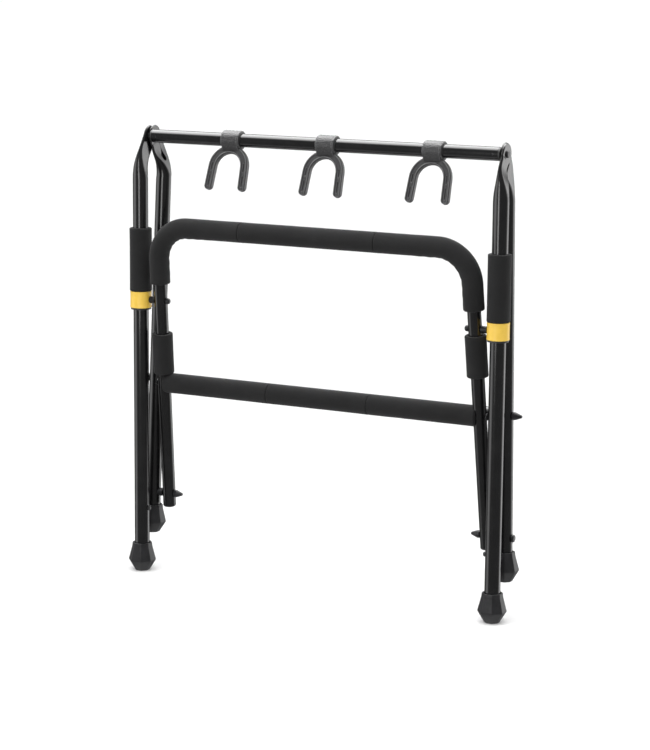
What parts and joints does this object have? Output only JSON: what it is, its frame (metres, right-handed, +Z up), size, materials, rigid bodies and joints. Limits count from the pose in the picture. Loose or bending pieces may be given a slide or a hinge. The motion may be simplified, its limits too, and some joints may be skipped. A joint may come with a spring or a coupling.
{
  "type": "guitar rack",
  "caption": "Folding guitar rack: black steel tube legs, padded seat frame on sliding collars, and forked rubber neck yokes along a top bar.",
  "frame": {"origin": "on the floor plane, at the middle of the folded rack's footprint", "axes": "+X along the top bar to the right, +Y to the back, +Z up"},
  "size_m": [0.61, 0.0862, 0.658],
  "materials": {
    "black_gloss_steel": "gloss black powder coat",
    "black_steel": "black zinc fasteners",
    "zinc_steel": "zinc plated",
    "grey_foam": "matt closed-cell foam",
    "rubber": "matt moulded rubber",
    "yoke_rubber": "grained soft rubber",
    "black_nylon": "matt nylon",
    "yellow_plastic": "satin yellow plastic"
  },
  "bodies": {
    "front_frame": {"front_leg_left": "black_gloss_steel", "front_leg_right": "black_gloss_steel", "front_foot_left": "rubber", "front_foot_right": "rubber", "leg_foam_left": "grey_foam", "leg_foam_right": "grey_foam", "top_bar": "black_gloss_steel", "bar_end_inserts": "zinc_steel", "insert_screws": "black_steel", "pivot_bolts": "black_steel", "pivot_washers": "black_nylon", "stop_screws": "black_steel"},
    "rear_legs": {"rear_leg_left": "black_gloss_steel", "rear_leg_right": "black_gloss_steel", "rear_foot_left": "rubber", "rear_foot_right": "rubber", "rear_stretcher": "black_gloss_steel", "stretcher_studs": "zinc_steel", "stretcher_nuts": "zinc_steel", "stretcher_caps": "rubber", "hinge_bolts": "black_steel", "hinge_spacers": "black_steel", "hinge_nuts": "zinc_steel", "hinge_caps": "rubber"},
    "seat_frame": {"seat_tube": "black_gloss_steel", "tube_plugs": "black_nylon", "seat_crossbar": "black_gloss_steel", "crossbar_inserts": "zinc_steel", "crossbar_bolts": "black_steel", "crossbar_foam_left": "grey_foam", "crossbar_foam_middle": "grey_foam", "crossbar_foam_right": "grey_foam", "top_foam_left": "grey_foam", "top_foam_middle": "grey_foam", "top_foam_right": "grey_foam", "side_foam_left": "grey_foam", "side_foam_right": "grey_foam", "link_bolts": "black_steel", "link_spacers": "black_steel", "link_nuts": "black_steel"},
    "collar_left": {"collar_shell_left": "yellow_plastic", "collar_sleeve_left": "black_nylon"},
    "collar_right": {"collar_shell_right": "yellow_plastic", "collar_sleeve_right": "black_nylon"},
    "yoke_slider_1": {"yoke_liner_1": "black_nylon"},
    "yoke_1": {"yoke_core_1": "zinc_steel", "yoke_cover_1": "yoke_rubber"},
    "yoke_slider_2": {"yoke_liner_2": "black_nylon"},
    "yoke_2": {"yoke_core_2": "zinc_steel", "yoke_cover_2": "yoke_rubber"},
    "yoke_slider_3": {"yoke_liner_3": "black_nylon"},
    "yoke_3": {"yoke_core_3": "zinc_steel", "yoke_cover_3": "yoke_rubber"}
  },
  "joints": [
    {"name": "rear_fold", "type": "hinge", "parent": "front_frame", "child": "rear_legs", "pos_m": [0, 0.00612, 0.643], "axis": [1, 0, 0], "range_deg": [0, 28.67]},
    {"name": "seat_swing", "type": "hinge", "parent": "rear_legs", "child": "seat_frame", "pos_m": [0, 0.01438, 0.112], "axis": [1, 0, 0], "range_deg": [0, 68.47]},
    {"name": "collar_left_slide", "type": "slide", "parent": "front_frame", "child": "collar_left", "axis": [0, -0.0127, -0.9999], "range_m": [0, 0.29333]},
    {"name": "collar_right_slide", "type": "slide", "parent": "front_frame", "child": "collar_right", "axis": [0, -0.0127, -0.9999], "range_m": [0, 0.29333]},
    {"name": "yoke_1_slide", "type": "slide", "parent": "front_frame", "child": "yoke_slider_1", "axis": [1, 0, 0], "range_m": [-0.082, 0.04]},
    {"name": "yoke_1_turn", "type": "hinge", "parent": "yoke_slider_1", "child": "yoke_1", "pos_m": [-0.14, 0.00612, 0.643], "axis": [1, 0, 0], "range_deg": [-120, 30]},
    {"name": "yoke_2_slide", "type": "slide", "parent": "front_frame", "child": "yoke_slider_2", "axis": [1, 0, 0], "range_m": [-0.04, 0.046]},
    {"name": "yoke_2_turn", "type": "hinge", "parent": "yoke_slider_2", "child": "yoke_2", "pos_m": [0.0115, 0.00612, 0.643], "axis": [1, 0, 0], "range_deg": [-120, 30]},
    {"name": "yoke_3_slide", "type": "slide", "parent": "front_frame", "child": "yoke_slider_3", "axis": [1, 0, 0], "range_m": [-0.046, 0.046]},
    {"name": "yoke_3_turn", "type": "hinge", "parent": "yoke_slider_3", "child": "yoke_3", "pos_m": [0.1753, 0.00612, 0.643], "axis": [1, 0, 0], "range_deg": [-120, 30]}
  ],
  "couplings": [
    {"joint": "seat_swing", "follows": "rear_fold", "ratio": 2.3882},
    {"joint": "collar_left_slide", "follows": "rear_fold", "m_per_rad": 0.58623},
    {"joint": "collar_right_slide", "follows": "rear_fold", "m_per_rad": 0.58623}
  ]
}
